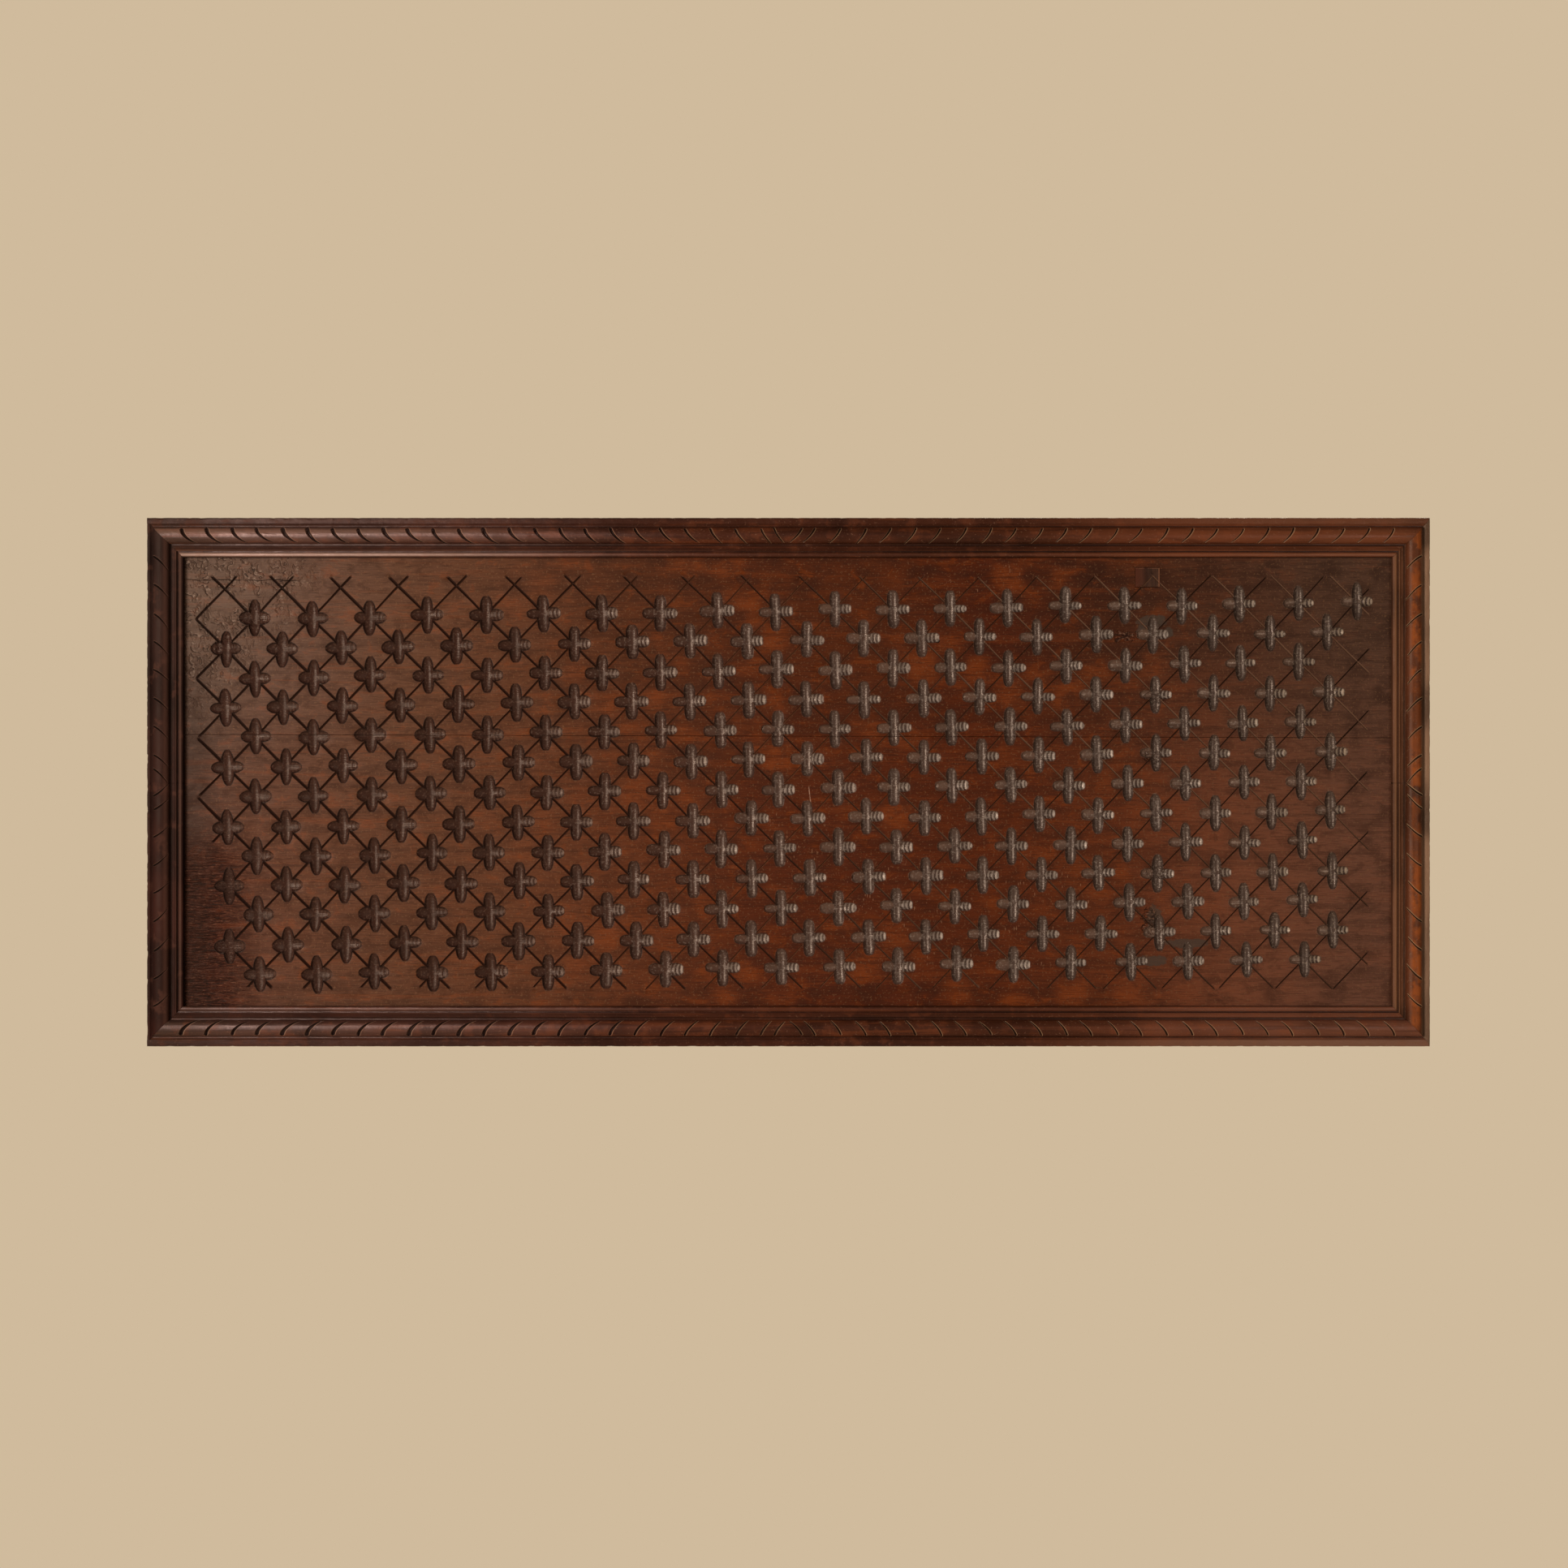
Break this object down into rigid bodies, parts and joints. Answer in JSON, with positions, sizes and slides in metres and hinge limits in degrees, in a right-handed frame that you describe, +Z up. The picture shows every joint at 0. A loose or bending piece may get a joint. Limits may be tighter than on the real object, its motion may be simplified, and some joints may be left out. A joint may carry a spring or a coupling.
{
  "type": "carved wall panel",
  "caption": "Long low carved wooden wall panel: a lattice of gouge-cut crosses on a boarded field, in a mitred moulded frame with a nicked bead.",
  "frame": {"origin": "middle of the flat back face, where the panel lies against the wall", "axes": "+X along the panel's length, to the right as the carved front is seen; +Y out of the back, into the wall; +Z up; the carved front faces -Y"},
  "size_m": [2, 0.0375, 0.824],
  "materials": {
    "frame_wood": "dark reddish-brown stain under old varnish, satin to semi-gloss, worn to orange-brown on the crowns and dusty in the cuts",
    "field_wood": "reddish-brown stain under old varnish, satin, duller brown towards the edges, with dusty grey-brown carving",
    "patch_wood": "greyer brown repair wood, satin"
  },
  "bodies": {
    "root": {"rail_top": "frame_wood", "rail_bottom": "frame_wood", "rail_left": "frame_wood", "rail_right": "frame_wood", "field_board_upper": "field_wood", "field_board_lower": "field_wood", "square_patch": "patch_wood"}
  },
  "joints": []
}
